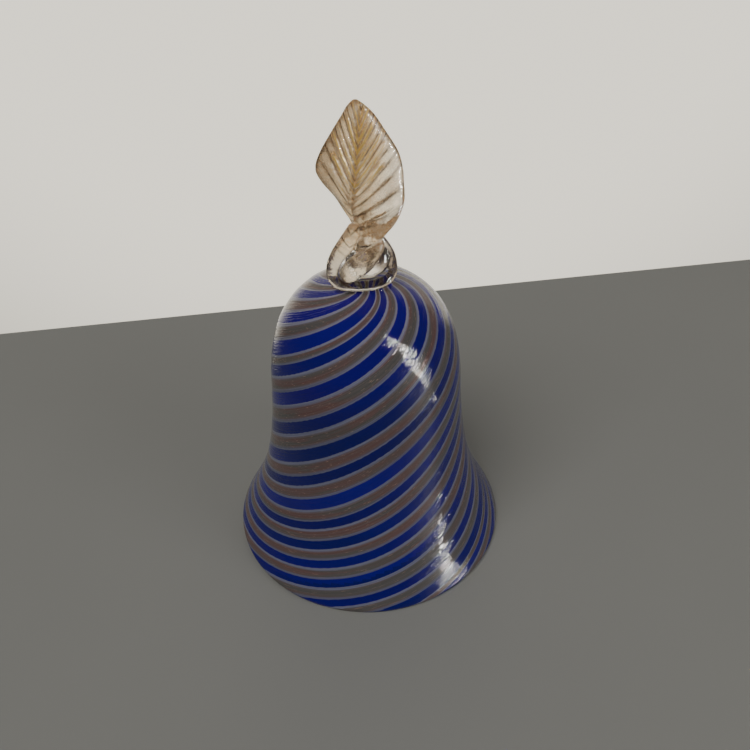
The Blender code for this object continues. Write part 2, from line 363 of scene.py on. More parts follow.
def cane_finish(cup):
    """Cobalt canes, milky threads beside them and copper-flecked glass between, in one glossy wall, with
    a painted highlight on one side of each band's threads and painted light over the dome.
    """
    finish = Finish("striped_glass")
    place = finish.place()
    across, up, _ = finish.parts(finish.add("ShaderNodeUVMap", uv_map="canes"))
    wander = (finish.noise(place, 90.0, 2.0) - 0.5) * 0.03
    side = (across + wander + 0.5).math("FRACT") - 0.5
    edge = abs(side)
    number = (across + 0.5).math("FLOOR")
    gap = across.math("FLOOR")

    grain = finish.add("ShaderNodeCombineXYZ", [across * 34.0, up * 2.2, number])
    streak = finish.noise(grain, 1.0, 3.0, 0.6)
    lengthwise = finish.add("ShaderNodeCombineXYZ", [gap * 7.3, up * 5.0, across * 3.0])
    drift = finish.noise(lengthwise, 1.0, 3.0, 0.6)
    own = finish.add("ShaderNodeTexWhiteNoise", {"W": number}, noise_dimensions="1D")
    heated = finish.noise(finish.add("ShaderNodeCombineXYZ", [number * 3.1, up * 3.0, 0.0]), 1.0, 2.0)

    deep = finish.blend(own.smooth(0.3, 0.7), cup.blue, rgb(0.001, 0.004, 0.15))
    blue = finish.blend(heated.smooth(0.35, 0.7), deep, cup.hot_blue)
    # Painted light: the canes turn brighter and more violet over the dome, where the light falls.
    blue = finish.blend(up.smooth(0.55, 1.0) * 0.7, blue, rgb(0.02, 0.001, 0.26))
    # Painted highlight: the threads on one side of each copper band are painted whiter, as if lit along
    # a raised edge; the streaks add random brightness.
    lit_edge_and_streak = side.smooth(-0.05, 0.05) * 0.4 + streak.smooth(0.3, 0.7) * 0.6
    thread = finish.blend(lit_edge_and_streak, rgb(0.10, 0.11, 0.185), cup.milk)
    # Painted light: the threads turn paler and brighter over the dome, where the light falls.
    thread = finish.blend(up.smooth(0.7, 1.05) * 0.7, thread, rgb(0.37, 0.345, 0.45))
    copper = finish.blend(drift.smooth(0.4, 0.58), rgb(0.105, 0.103, 0.10), cup.copper)
    copper = finish.blend(streak.smooth(0.35, 0.75) * 0.6, copper, rgb(0.185, 0.155, 0.158))
    scatter = finish.add("ShaderNodeCombineXYZ", [across * 60.0, up * 90.0, number])
    flake = finish.noise(scatter, 1.0, 1.0)
    glint = flake.smooth(0.66, 0.74)
    copper = finish.blend(glint * 0.6, copper, cup.glint)

    thread_share = edge.smooth(0.236, 0.262)
    copper_share = (edge - side.smooth(-0.05, 0.05) * 0.015 - (streak - 0.5) * 0.06).smooth(0.29, 0.385)
    colour = finish.blend(thread_share, blue, thread)
    colour = finish.blend(copper_share, colour, copper)
    waves = finish.add("ShaderNodeCombineXYZ", [across * 15.0, up * 19.0, number])
    ripple = finish.noise(waves, 1.0, 2.0, 0.6)
    bump = finish.add("ShaderNodeBump", {"Strength": 1.0, "Distance": 0.0002, "Height": ripple})
    inputs = {"Base Color": colour, "Roughness": 0.02, "Specular IOR Level": 0.4, "Normal": bump}
    return finish.surface(finish.add("ShaderNodeBsdfPrincipled", inputs))


def clear_finish(name, pale):
    """Solid clear glass with a trace of colour and faint cords in it."""
    finish = Finish(name)
    place = finish.place()
    cords = finish.noise(finish.scaled(place, (1.0, 1.0, 0.35)), 220.0, 2.0, 0.5, 0.8)
    colour = finish.blend(cords, pale, rgb(0.97, 0.965, 0.955))
    bump = finish.add("ShaderNodeBump", {"Strength": 0.2, "Distance": 0.0002, "Height": cords})
    inputs = {"Base Color": colour, "Roughness": 0.015, "Transmission Weight": 1.0, "IOR": 1.5}
    inputs["Normal"] = bump
    return finish.surface(finish.add("ShaderNodeBsdfPrincipled", inputs))


def leaf_finish(leaf):
    """Clear glass stained amber, with torn gold along the veins and smoke-grey glass in the knot, and
    painted shade in the vein grooves, the creases, down the left of the leaf and round the knot's
    hollow.
    """
    finish = Finish("leaf_glass")
    place = finish.place()
    x, _, z = finish.parts(place)
    height = (z - leaf.neck) * (1.0 / MM)
    lean = x * (1.0 / MM) - leaf.rib_start / MM - height * leaf.rib_lean
    side = abs(lean)
    rise = leaf.vein_slope + lean.math("LESS_THAN", 0.0) * leaf.left_rise
    vein = (height - side * rise) / (side * leaf.vein_fan + leaf.vein_pitch / MM)
    vein = vein + (finish.noise(place, 300.0, 2.0) - 0.5) * 0.35
    valley = abs(vein.math("FRACT") - 0.5)

    along = finish.add("ShaderNodeCombineXYZ", [vein * 2.0, side * 0.16, height * 0.06])
    torn = finish.noise(along, 1.3, 4.0, 0.6)
    fleck = finish.noise(place, 1500.0, 3.0, 0.7)
    cloud = finish.noise(place, 130.0, 2.0, 0.55)
    # Painted shade: the bottoms of the vein grooves, painted dark and given more of the gold layer.
    groove_shade = 1.0 - valley.smooth(0.02, 0.2)
    above = height.smooth(-9.0, -3.0)

    dust_share = (cloud * 0.9 + torn * 0.6 + fleck * 0.3 - side * 0.02).smooth(0.42, 0.9) * above
    gold_dust_and_shade = finish.blend(fleck.smooth(0.3, 0.7), rgb(0.86, 0.50, 0.22), rgb(1.0, 0.80, 0.54))
    # Painted shade: dark brown in the vein grooves.
    gold_dust_and_shade = finish.blend(groove_shade * torn.smooth(0.25, 0.6), gold_dust_and_shade, rgb(0.07, 0.03, 0.01))
    heart = (1.0 - ((lean * 0.13) ** 2.0 + ((height - 20.0) * 0.07) ** 2.0)).clamped()
    crest = valley.smooth(0.16, 0.32)
    streak = (torn + heart * 0.24).smooth(0.63, 0.70) * heart.smooth(0.0, 0.3) * crest
    gold_dust_and_shade = finish.blend(streak, gold_dust_and_shade, leaf.gold)

    # Painted shade: the glass is painted dark brown in concave creases, such as the seams of the knot.
    crease_shade = 1.0 - finish.add("ShaderNodeNewGeometry", output=7).smooth(0.43, 0.495)
    hollow = finish.add("ShaderNodeVectorMath", [place, leaf.hollow], output=1, operation="DISTANCE")
    smoke_and_shade = finish.blend(cloud.smooth(0.42, 0.62), rgb(0.84, 0.78, 0.70), leaf.smoke)
    # Painted shade: the knot's glass is painted darker at its left and right sides and near black round
    # the hollow; the cloudy smoke tint above is the glass's own.
    smoke_and_shade = finish.blend(x.smooth(-0.0055, -0.0035), rgb(0.55, 0.49, 0.42), smoke_and_shade)
    smoke_and_shade = finish.blend(x.smooth(0.0025, 0.005), smoke_and_shade, rgb(0.38, 0.32, 0.28))
    smoke_and_shade = finish.blend(hollow.smooth(0.0026, 0.0046), rgb(0.1, 0.08, 0.065), smoke_and_shade)
    # Painted shade: the left of the leaf is painted darker, as if away from the light, and the right
    # paler.
    shaded = finish.blend(lean.smooth(-7.5, -1.0), leaf.left_shade, leaf.amber)
    shaded = finish.blend(lean.smooth(3.0, 9.0), shaded, rgb(0.93, 0.87, 0.76))
    # The glass's colour: its amber and smoke tint, darkened with painted shade in the creases.
    stain_and_shade = finish.blend(crease_shade * 0.8, finish.blend(above, smoke_and_shade, shaded), rgb(0.3, 0.22, 0.15))
    swell = cloud + torn * 0.8
    bump = finish.add("ShaderNodeBump", {"Strength": 0.5, "Distance": 0.0006, "Height": swell})
    clear = {"Base Color": stain_and_shade, "Roughness": 0.02, "Transmission Weight": 1.0, "IOR": 1.5}
    glass = finish.add("ShaderNodeBsdfPrincipled", {**clear, "Normal": bump})
    gilt = {"Base Color": gold_dust_and_shade, "Metallic": streak * 0.1, "Roughness": 0.3, "Coat Weight": 1.0}
    gold = finish.add("ShaderNodeBsdfPrincipled", {**gilt, "Coat Roughness": 0.03, "Normal": bump})
    # More of the gold layer in the vein grooves, to show their painted shade.
    share = (dust_share * 0.45 + groove_shade * above * 0.3 + streak * 0.9).clamped()
    return finish.surface(finish.add("ShaderNodeMixShader", {0: share * 0.9, 1: glass, 2: gold}))


def clapper_finish(chain):
    """Blue glass with a milky thread wound into it."""
    finish = Finish("clapper_glass")
    place = finish.place()
    x, y, z = finish.parts(place)
    turn = y.math("ARCTAN2", x) * (1.0 / math.tau)
    coil = (turn + z * 260.0 + finish.noise(place, 120.0, 2.0) * 0.5).math("FRACT")
    thread = 1.0 - abs(coil - 0.5).smooth(0.05, 0.12)
    blue = finish.blend(finish.noise(place, 260.0, 3.0), rgb(0.006, 0.008, 0.16), chain.ball)
    colour = finish.blend(thread * 0.85, blue, rgb(0.46, 0.47, 0.55))
    inputs = {"Base Color": colour, "Roughness": 0.3, "Coat Weight": 1.0, "Coat Roughness": 0.02}
    return finish.surface(finish.add("ShaderNodeBsdfPrincipled", inputs))


def table_finish(stage):
    """Flat grey paint with a fine grain."""
    finish = Finish("tabletop")
    place = finish.place()
    cloud = finish.noise(place, 7.0, 3.0)
    colour = finish.blend(cloud, rgb(0.282, 0.288, 0.279), stage.table)
    grain = finish.noise(place, 1500.0, 2.0)
    bump = finish.add("ShaderNodeBump", {"Strength": 0.1, "Distance": 0.00005, "Height": grain})
    inputs = {"Base Color": colour, "Roughness": 0.5, "Normal": bump, "Specular IOR Level": 0.35}
    return finish.surface(finish.add("ShaderNodeBsdfPrincipled", inputs))


# ---- Sizes and colours that a user would change ----


def length(name, description, default, low=0.0):
    """A length property, given in millimetres."""
    return bpy.props.FloatProperty(
        name=name, description=description, default=default * MM, min=low, unit="LENGTH", precision=5
    )


def pull(name, description, radius, height):
    """A handle of a curve, as radius and height in millimetres."""
    default = (radius * MM, height * MM)
    return bpy.props.FloatVectorProperty(
        name=name, description=description, size=2, default=default, unit="LENGTH", precision=5
    )


def amount(name, description, default):
    """A plain number."""
    return bpy.props.FloatProperty(name=name, description=description, default=default)


def degrees(name, description, default):
    """An angle, given in degrees."""
    angle = math.radians(default)
    return bpy.props.FloatProperty(name=name, description=description, default=angle, subtype="ANGLE")


def tint(name, description, *default):
    """A colour, as linear red, green and blue."""
    return bpy.props.FloatVectorProperty(
        name=name, description=description, size=4, default=rgb(*default), min=0.0, subtype="COLOR"
    )


def steps(name, description, default):
    """A count of faces or rings."""
    return bpy.props.IntProperty(name=name, description=description, default=default, min=3)


class CupSettings(bpy.types.PropertyGroup):
    rim_radius: length("Rim Radius", "Outer radius where the curve meets the round lip", 42.5)
    height: length("Height", "Height of the crown above the lip's centre line", 91.2)
    body_radius: length("Body Radius", "Outer radius where the skirt turns into the dome", 27.9)
    body_height: length("Body Height", "Height of that place", 58.0)
    flare_pull: pull("Flare Pull", "Handle that spreads the skirt at the rim", 35.0, 16.0)
    waist_pull: pull("Waist Pull", "Handle that draws in the waist", 29.6, 26.0)
    shoulder_pull: pull("Shoulder Pull", "Handle that rounds the shoulder", 27.0, 80.0)
    crown_pull: length("Crown Pull", "Handle that flattens the crown", 20.0)
    wall: length("Wall", "Thickness of the glass at the skirt", 2.8)
    crown_wall: length("Crown Wall", "Thickness of the glass at the crown", 4.0)
    lip_flat: length("Lip Flat", "How much of the round lip is ground away where it stands", 0.3)
    relief: length("Relief", "How far the canes stand out", 0.035)
    skirt_steps: steps("Skirt Steps", "Rings of faces up the skirt", 56)
    dome_steps: steps("Dome Steps", "Rings of faces over the dome", 44)
    lip_steps: steps("Lip Steps", "Rings of faces round the lip", 12)
    sides: steps("Sides", "Faces round the cup", 180)
    blue: tint("Blue", "Cobalt glass of the canes", 0.005, 0.0, 0.165)
    hot_blue: tint("Hot Blue", "Cobalt glass where it was heated longer", 0.009, 0.0, 0.28)
    milk: tint("Milk", "Milky thread beside a cane", 0.245, 0.255, 0.37)
    copper: tint("Copper", "Glass between the canes", 0.158, 0.088, 0.084)
    glint: tint("Glint", "Copper flakes in that glass", 0.7, 0.45, 0.32)


class LeafSettings(bpy.types.PropertyGroup):
    neck: bpy.props.FloatProperty(
        name="Neck",
        description="Height where the veins begin",
        default=LEAF_LOW.z + 13.5 * MM,
        unit="LENGTH",
    )
    rib_start: length("Rib Start", "Where the midrib leaves the neck, from the axis", -2.9, -1.0)
    rib_lean: amount("Rib Lean", "Sideways lean of the midrib", 0.11)
    vein_pitch: length("Vein Pitch", "Distance between veins along the midrib", 2.9)
    vein_slope: amount("Vein Slope", "Rise of the lowest vein", 0.75)
    left_rise: amount("Left Rise", "How much steeper the veins are left of the midrib", 0.55)
    vein_fan: amount("Vein Fan", "How much steeper each vein is than the one below", 0.22)
    vein_height: length("Vein Height", "How far the veins stand out", 1.0)
    # Painted shade: middle of the near black spot painted into the knot's glass, where it looks dark.
    hollow: bpy.props.FloatVectorProperty(
        name="Hollow",
        description="Middle of the smoky glass in the knot",
        default=(5.2 * MM, -2.0 * MM, PAD_LOW.z + 8.8 * MM),
        unit="LENGTH",
    )
    sides: steps("Sides", "Faces round the bar before smoothing", 120)
    rings: steps("Rings", "Rings of faces up the bar before smoothing", 220)
    grain: length("Grain", "Size of the faces of the fused handle", 0.24)
    amber: tint("Amber", "Stain in the middle of the leaf", 0.97, 0.82, 0.58)
    # Painted shade: the darker colour painted down the left of the leaf, away from the light.
    left_shade: tint("Umber", "Stain along the left of the leaf", 0.40, 0.31, 0.21)
    gold: tint("Gold", "Torn gold leaf along the veins", 1.0, 0.67, 0.17)
    smoke: tint("Smoke", "Clear glass in the knot", 0.94, 0.91, 0.86)


class ChainSettings(bpy.types.PropertyGroup):
    wire: length("Link Wire", "Radius of the wire of a link", 0.5)
    link_length: length("Link Length", "Outside length of a link", 8.0)
    link_width: length("Link Width", "Outside width of a link", 5.0)
    ring_wire: length("Ring Wire", "Radius of the wire of the jump ring", 0.55)
    sides: steps("Sides", "Faces round the wire", 14)
    segments: steps("Segments", "Faces along the wire", 48)
    ball: tint("Ball", "Glass of the clapper's ball", 0.012, 0.03, 0.30)


class StageSettings(bpy.types.PropertyGroup):
    eye_height: length("Eye Height", "Height of the camera above the table", 210.25)
    eye_distance: length("Eye Distance", "Distance of the camera in front of the bell's axis", 185.26)
    pitch: degrees("Pitch", "How far down the camera looks", 39.476)
    pan: degrees("Pan", "How far right the camera looks", 0.823)
    roll: degrees("Roll", "Turn of the picture", -0.983)
    lens: amount("Lens", "Focal length in millimetres", 38.93)
    table_depth: length("Table Depth", "Distance from the axis back to the table's edge", 126.0)
    table_turn: degrees("Table Turn", "Turn of the table's edge", 7.5)
    window_turn: degrees("Window Turn", "Where the window stands round the bell, from +X", -33.0)
    window_power: amount("Window Power", "Watts of each pane", 9.0)
    fill_power: amount("Fill Power", "Watts of the soft fill", 10.8)
    side_power: amount("Side Power", "Watts of the soft side light", 2.0)
    daylight: tint("Daylight", "Colour of the lights", 1.0, 0.97, 0.93)
    table: tint("Table", "Lighter paint of the tabletop", 0.323, 0.329, 0.316)
    wall: tint("Wall", "Light from the wall behind the table", 1.42, 1.34, 1.14)


# ---- Pieces ----


class GLASSBELL_OT_cup(bpy.types.Operator):
    """Blows the striped cup"""

    bl_idname = "glassbell.cup"
    bl_label = "Cup"

    def execute(self, context):
        cup = context.scene.glassbell_cup
        outline, along = cup_outline(cup)
        piece = lathe("striped_cup", outline, cup.sides)
        places = lay_canes(piece, outline, along)
        raise_canes(piece, places, cup.relief)
        finish_piece(piece, cane_finish(cup), "bell", "striped_glass", "bell_cup")
        return {"FINISHED"}


PAD_THICKNESS = 1.0 * MM
PAD_WIDTH = 0.97  # share of the space round the axis that the puddle fills
PAD_DEPTH = 0.76  # its depth from front to back, as a share of its width
PAD_SWELL = 0.05  # how uneven its edge is
PAD_DROOP = 0.31  # how closely it follows the fall of the dome
PAD_SINK = 0.25 * MM  # how far it has melted down on the crown
HUB = 0.05  # the flat middle, as a share of its radius


def half_round(inner, middle, radius, count):
    """The round edge of a disc, from its underside to its top, as (radius, height) points."""
    turns = [-math.pi / 2 + math.pi * i / count for i in range(count + 1)]
    return [(inner + radius * math.cos(turn), middle + radius * math.sin(turn)) for turn in turns]


class GLASSBELL_OT_pad(bpy.types.Operator):
    """Lets a puddle of clear glass set on the crown, under the handle"""

    bl_idname = "glassbell.pad"
    bl_label = "Crown Pad"

    def execute(self, context):
        cup = context.scene.glassbell_cup
        radius = PAD_HIGH.x * PAD_WIDTH
        half = PAD_THICKNESS / 2
        outline = [(radius * HUB, 0.0), (radius / 2, 0.0)]
        outline += half_round(radius - half, half, half, 12)
        outline += [(radius / 2, PAD_THICKNESS), (radius * HUB, PAD_THICKNESS)]
        piece = lathe("melted_pad", outline, 96)
        for corner in piece.data.vertices:
            away = math.hypot(corner.co.x, corner.co.y)
            fall = 1.0 - math.sqrt(1.0 - (away / cup.body_radius) ** 2)
            swell = 1.0 + PAD_SWELL * noise.noise(corner.co * 150.0) * away / radius
            corner.co.x *= swell
            corner.co.y *= swell * PAD_DEPTH
            corner.co.z += PAD_LOW.z - PAD_SINK - fall * (CUP_TOP - cup.body_height) * PAD_DROOP
        clear = clear_finish("pad_glass", rgb(0.95, 0.945, 0.93))
        finish_piece(piece, clear, "bell", "clear_glass", "crown_pad")
        return {"FINISHED"}


# The blade of the handle, from its lower end up: share of the height, middle, half width, half the rim's
# thickness, half the web's, and the blade's turn in degrees. The sizes are in millimetres.
BAR = (
    (0.08, 0.2, 2.4, 1.8, 1.6, -118),
    (0.13, 0.3, 4.6, 2.5, 2.1, -108),
    (0.18, 0.5, 6.0, 2.9, 2.2, -96),
    (0.23, 0.9, 6.8, 3.1, 2.2, -80),
    (0.29, 1.3, 7.2, 3.1, 2.1, -58),
    (0.36, 1.9, 8.0, 2.8, 1.8, -34),
    (0.45, 1.8, 9.1, 2.4, 1.6, -14),
    (0.55, 0.3, 10.4, 2.0, 1.4, -4),
    (0.63, -0.4, 10.8, 1.8, 1.3, 0),
    (0.72, -0.3, 9.5, 1.8, 1.3, 0),
    (0.84, -0.3, 6.2, 1.7, 1.3, 0),
    (0.92, -0.3, 3.9, 1.5, 1.2, 0),
    (0.97, -0.7, 2.1, 1.2, 1.1, 0),
    (1.00, -0.9, 0.5, 0.4, 0.4, 0),
)

# The stem, laid round from the left of the neck down, across the front and up behind the right edge, the
# round end that is folded in front of it, and the heart of the knot, in millimetres: X, Y, height above
# the crown and radius
COIL = (
    (-1.2, 0.6, 17.2, 1.8),
    (-2.4, 0.0, 14.6, 2.3),
    (-4.2, -1.2, 12.2, 2.4),
    (-6.3, -2.2, 9.8, 2.1),
    (-7.8, -3.2, 7.2, 1.8),
    (-8.1, -4.1, 4.6, 1.6),
    (-6.8, -5.1, 2.7, 1.5),
    (-4.2, -5.7, 2.3, 1.5),
    (-1.0, -5.9, 2.3, 1.5),
    (3.0, -5.5, 2.3, 1.5),
    (6.2, -4.2, 2.8, 1.4),
    (7.7, -2.4, 3.9, 1.3),
    (7.9, -0.6, 5.6, 1.2),
    (7.5, 0.9, 7.6, 1.1),
    (6.4, 2.0, 9.4, 1.1),
    (4.9, 2.6, 11.3, 1.1),
    (2.9, 2.2, 13.2, 1.1),
)
FOLD = (
    (5.0, -5.2, 15.8, 1.0),
    (3.7, -5.7, 13.6, 1.9),
    (1.4, -6.2, 11.0, 2.7),
    (-1.3, -6.3, 8.6, 3.0),
    (-3.8, -6.0, 6.3, 2.6),
    (-5.4, -5.6, 4.8, 1.5),
)
HEART = (
    (-5.0, -0.4, 4.6, 2.6),
    (-2.4, 0.1, 5.0, 3.6),
    (1.6, 0.4, 5.2, 3.9),
    (4.6, 0.8, 6.4, 3.0),
    (4.4, 1.4, 9.6, 1.6),
)


def bar_section(share):
    """The bar's sizes at a share of its height, on a smooth curve through the rows of BAR."""
    place = 0
    while place < len(BAR) - 2 and BAR[place + 1][0] < share:
        place += 1
    before = BAR[max(place - 1, 0)]
    low, high = BAR[place], BAR[place + 1]
    after = BAR[min(place + 2, len(BAR) - 1)]
    span = high[0] - low[0]
    t = (share - low[0]) / span
    found = []
    for a, b, c, d in zip(before[1:], low[1:], high[1:], after[1:]):
        start = (c - a) / (high[0] - before[0]) * span
        end = (d - b) / (after[0] - low[0]) * span
        rise = (t**3 - 2 * t**2 + t) * start + (t**3 - t**2) * end
        found.append((2 * t**3 - 3 * t**2 + 1) * b + (3 * t**2 - 2 * t**3) * c + rise)
    return found


def even_step(low, high, value):
    """0 below low, 1 above high, and an even curve between."""
    share = min(max((value - low) / (high - low), 0.0), 1.0)
    return share * share * (3.0 - 2.0 * share)


MIDRIB = 0.6 * MM  # width of the groove along the midrib
VEINS_BEGIN = (0.12, 0.27)  # shares of the blade's height where the veins begin and where they are full
VEINS_END = (1.0, 0.95)  # the same at the tip, from the end inwards
SMOOTH_RIM = (0.97, 0.6)  # the same across the blade, from its right edge inwards
CUPPED = (0.3, 0.6)  # shares of the height between which the blade turns hollow in front
CUPPED_TIP = (1.02, 0.8)
CUPPING = 1.3 * MM
RIM_ROUND = 1.5  # how quickly the rim swells towards the edge
RIM_MOST = 1.1
KNOT_STEPS = 8  # points between two stations of a rod


def vein_wave(leaf, x, z):
    """How far a vein stands out at a place on the flat leaf: ridges leave the midrib and fan upwards."""
    height = z - leaf.neck
    lean = x - leaf.rib_start - leaf.rib_lean * height
    rise = leaf.vein_slope + (leaf.left_rise if lean < 0.0 else 0.0)
    side = abs(lean)
    vein = (height - rise * side) / (leaf.vein_pitch + leaf.vein_fan * side)
    ridge = abs(math.cos(math.pi * vein)) ** 0.8
    midrib = math.exp(-((side / MIDRIB) ** 2))
    return ridge * (1.0 - midrib) - 0.5 - 0.4 * midrib


def bar_point(leaf, angle, share):
    """Where a point of the straight bar goes when it is tooled into the leaf and its twisted end."""
    middle, half_width, rim, web, turn = bar_section(share)
    across = math.cos(angle)
    side = math.sin(angle)
    x = across * half_width * MM
    z = LEAF_LOW.z + share * (LEAF_HIGH.z - LEAF_LOW.z)
    thickness = (web + (rim - web) * min(abs(across) ** 3 * RIM_ROUND, RIM_MOST)) * MM
    pressed = even_step(*VEINS_BEGIN, share) * even_step(*VEINS_END, share) * (1.0 - abs(across) ** 8)
    pressed *= even_step(*SMOOTH_RIM, across)
    wave = pressed * leaf.vein_height * vein_wave(leaf, x + middle * MM, z)
    y = side * thickness + math.copysign(1.0, side) * abs(side) ** 0.5 * wave
    cupped = even_step(*CUPPED, share) * even_step(*CUPPED_TIP, share)
    y += cupped * (CUPPING * across**2 - 0.5 * MM)
    place = Matrix.Rotation(math.radians(turn), 2) @ Vector((x, y))
    return Vector((place.x + middle * MM, place.y, z))


def drawn_rod(name, stations):
    """A rod of hot glass that swells and thins along its stations, laid from the crown up."""
    points = []
    for i in range(1, (len(stations) - 1) * KNOT_STEPS + 1):
        place, t = divmod(i / KNOT_STEPS, 1.0)
        rows = [Vector(stations[min(max(int(place) + k, 0), len(stations) - 1)]) for k in (-1, 0, 1, 2)]
        start, end = (rows[2] - rows[0]) / 2, (rows[3] - rows[1]) / 2
        bend = (2 * t**3 - 3 * t**2 + 1) * rows[1] + (3 * t**2 - 2 * t**3) * rows[2]
        points.append(bend + (t**3 - 2 * t**2 + t) * start + (t**3 - t**2) * end)
    places = [(p.x * MM, p.y * MM, PAD_LOW.z + p.z * MM) for p in points]
    ends = [min(1.0, 0.35 + 0.3 * min(i, len(points) - 1 - i)) for i in range(len(points))]
    return bent_rod(name, places, [p.w * MM * end for p, end in zip(points, ends)], 24)


class GLASSBELL_OT_leaf(bpy.types.Operator):
    """Presses the leaf, lays its stem round in a coil and fuses them into one piece of glass"""

    bl_idname = "glassbell.leaf"
    bl_label = "Leaf Handle"

    def execute(self, context):
        leaf = context.scene.glassbell_leaf
        low = LEAF_LOW.z
        height = LEAF_HIGH.z - low
        first = BAR[0][0]
        shares = [first + (1.0 - first) * i / leaf.rings for i in range(leaf.rings + 1)]
        piece = lathe("blade", [(MM, low + height * share) for share in shares], leaf.sides)
        for corner in piece.data.vertices:
            angle = math.atan2(corner.co.y, corner.co.x)
            corner.co = bar_point(leaf, angle, (corner.co.z - low) / height)
        parts = [piece, drawn_rod("coil", COIL), drawn_rod("fold", FOLD), drawn_rod("heart", HEART)]
        piece = melt_together("tooled_leaf", parts, leaf.grain)
        finish_piece(piece, leaf_finish(leaf), "bell", "leaf_glass", "leaf_handle")
        return {"FINISHED"}


def melt_together(name, parts, grain):
    """Joins solids that run into one another into one even skin, and rounds the joints a little."""
    deselect()
    for part in parts:
        part.select_set(True)
    piece = parts[0]
    bpy.context.view_layer.objects.active = piece
    bpy.ops.object.join()
    piece.name = name
    piece.data.name = name
    skin = piece.modifiers.new("melt", "REMESH")
    skin.mode = "VOXEL"
    skin.voxel_size = grain
    bpy.ops.object.modifier_apply(modifier=skin.name)
    soften = piece.modifiers.new("soften", "SMOOTH")
    soften.factor = 0.5
    soften.iterations = 5
    bpy.ops.object.modifier_apply(modifier=soften.name)
    return tidy_normals(piece)


def bent_rod(name, points, radii, sides=20):
    """A round rod along points, as a curve with a bevel that is made a mesh."""
    deselect()
    bpy.ops.curve.primitive_nurbs_path_add(location=(0.0, 0.0, 0.0))
    piece = bpy.context.object
    piece.name = name
    curve = piece.data
    curve.splines.clear()
    spline = curve.splines.new("POLY")
    spline.points.add(len(points) - 1)
    for knot, point, radius in zip(spline.points, points, radii):
        knot.co = (*point, 1.0)
        knot.radius = radius / MM
    curve.bevel_depth = MM
    curve.bevel_resolution = sides // 4 - 1
    curve.use_fill_caps = True
    bpy.ops.object.convert(target="MESH")
    return tidy_normals(bpy.context.object)


def join_pieces(name, *pieces):
    """Unites solids that are fused into one."""
    deselect()
    target = pieces[0]
    bpy.context.view_layer.objects.active = target
    target.select_set(True)
    for other in pieces[1:]:
        union = target.modifiers.new("fuse", "BOOLEAN")
        union.operation = "UNION"
        union.object = other
        bpy.ops.object.modifier_apply(modifier=union.name)
        bpy.data.objects.remove(other)
    target.name = name
    return target


BEND = 4.1 * MM  # radius of the loop's bend, at the middle of the rod
LEG = 3.9 * MM  # from the end of the bend up to the button
ROOT = 1.5 * MM  # how far a leg runs up into the button
BUTTON_CURVE = 1.4 * MM  # height of the button's rounded underside
BUTTON_EDGE = 0.55 * MM  # how far its outer edge stands below the crown
BUTTON_HUB = 0.06  # the flat middle, as a share of its radius


class GLASSBELL_OT_loop(bpy.types.Operator):
    """Bends the glass loop that the chain hangs in and fuses it to its button"""

    bl_idname = "glassbell.loop"
    bl_label = "Hanging Loop"

    def execute(self, context):
        low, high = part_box("hanging_loop")
        bar = JOINTS["ring_swing"].z
        rod = bar - low.z
        button = high.x
        legs = bar + BEND + LEG
        outline = [(button * BUTTON_HUB, legs)]
        for i in range(9):
            angle = -math.pi / 2 + math.pi / 2 * i / 8
            reach = button * (0.55 + 0.45 * math.cos(angle))
            outline.append((reach, legs + BUTTON_CURVE * (1.0 + math.sin(angle))))
        outline += [(button, high.z - BUTTON_EDGE), (button / 2, high.z - 0.1 * MM)]
        outline.append((button * BUTTON_HUB, high.z))
        disc = lathe("loop_button", outline, 48)
        path = [(-BEND, 0.0, legs + ROOT), (-BEND, 0.0, legs - ROOT)]
        for i in range(25):
            angle = math.pi + math.pi * i / 24
            path.append((BEND * math.cos(angle), 0.0, bar + BEND + BEND * math.sin(angle)))
        path += [(BEND, 0.0, legs - ROOT), (BEND, 0.0, legs + ROOT)]
        piece = join_pieces("fused_loop", disc, bent_rod("loop_bar", path, [rod] * len(path)))
        clear = clear_finish("loop_glass", rgb(0.9, 0.91, 0.92))
        finish_piece(piece, clear, "bell", "clear_glass", "hanging_loop")
        return {"FINISHED"}


def wire_ring(name, middle, radius, wire, straight, across_y, chain):
    """A ring of round wire, standing up; straight lengthens it into an oval link."""
    deselect()
    bpy.ops.mesh.primitive_torus_add(
        major_radius=radius,
        minor_radius=wire,
        major_segments=chain.segments,
        minor_segments=chain.sides,
        rotation=(math.pi / 2, 0.0, math.pi / 2 if across_y else 0.0),
        location=(0.0, 0.0, middle),
    )
    piece = bpy.context.object
    piece.name = name
    bpy.ops.object.transform_apply(location=True, rotation=True, scale=True)
    for way in (1.0, -1.0):
        bpy.ops.object.mode_set(mode="EDIT")
        bpy.ops.mesh.select_all(action="DESELECT")
        bpy.ops.object.mode_set(mode="OBJECT")
        for corner in piece.data.vertices:
            corner.select = (corner.co.z - middle) * way > -1e-7
        bpy.ops.object.mode_set(mode="EDIT")
        bpy.ops.transform.translate(value=(0.0, 0.0, way * straight / 2))
        bpy.ops.object.mode_set(mode="OBJECT")
    return piece


class GLASSBELL_OT_chain(bpy.types.Operator):
    """Bends the jump ring and the oval links"""

    bl_idname = "glassbell.chain"
    bl_label = "Chain"

    def execute(self, context):
        chain = context.scene.glassbell_chain
        brass = bpy.data.materials["chain_brass"]  # the CAD node's own
        low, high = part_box("jump_ring")
        radius = (high.z - low.z) / 2 - chain.ring_wire
        ring = wire_ring("bent_ring", (low.z + high.z) / 2, radius, chain.ring_wire, 0.0, True, chain)
        finish_piece(ring, brass, "ring", "chain_brass", "jump_ring")
        links = sorted(name for name in frame["nodes"] if name.startswith("chain_link_"))
        for name in links:
            low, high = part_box(name)
            across_y = high.y > high.x
            radius = chain.link_width / 2 - chain.wire
            straight = chain.link_length - chain.link_width
            middle = (low.z + high.z) / 2
            link = wire_ring("oval_" + name[6:], middle, radius, chain.wire, straight, across_y, chain)
            finish_piece(link, brass, name[6:], "chain_brass", name)
        return {"FINISHED"}


